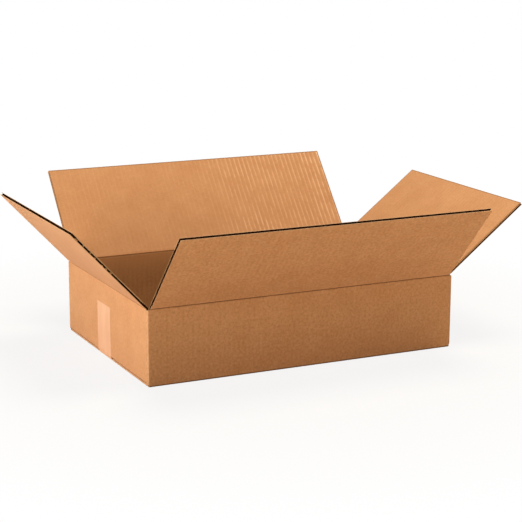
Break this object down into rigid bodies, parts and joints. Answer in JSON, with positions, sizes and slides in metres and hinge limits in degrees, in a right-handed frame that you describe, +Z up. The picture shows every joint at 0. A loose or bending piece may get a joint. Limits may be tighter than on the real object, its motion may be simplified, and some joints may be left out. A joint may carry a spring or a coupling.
{
  "type": "corrugated cardboard box",
  "caption": "Shallow corrugated cardboard box set up for packing, with creased top flaps standing open and a taped bottom.",
  "frame": {"origin": "on the surface the box stands on, under the middle of its four walls", "axes": "+X along the box towards its right end, +Y from front to back, +Z up out of the open top"},
  "size_m": [0.6918, 0.5128, 0.224],
  "materials": {
    "board": "unbleached kraft, matt",
    "tape": "smooth tan tape, faint sheen"
  },
  "bodies": {
    "box": {"carton_body": "board", "sealing_tape": "tape"},
    "front_flap": {"front_flap": "board"},
    "back_flap": {"back_flap": "board"},
    "left_flap": {"left_flap": "board"},
    "right_flap": {"right_flap": "board"}
  },
  "joints": [
    {"name": "front_crease", "type": "hinge", "parent": "box", "child": "front_flap", "pos_m": [0, -0.1535, 0.107], "axis": [1, 0, 0], "range_deg": [-132.3, 87.7]},
    {"name": "back_crease", "type": "hinge", "parent": "box", "child": "back_flap", "pos_m": [0, 0.1535, 0.107], "axis": [-1, 0, 0], "range_deg": [-130.3, 89.7]},
    {"name": "left_crease", "type": "hinge", "parent": "box", "child": "left_flap", "pos_m": [-0.2325, 0, 0.1057], "axis": [0, -1, 0], "range_deg": [-133.2, 86.8]},
    {"name": "right_crease", "type": "hinge", "parent": "box", "child": "right_flap", "pos_m": [0.2325, 0, 0.1057], "axis": [0, 1, 0], "range_deg": [-142.2, 77.8]}
  ]
}
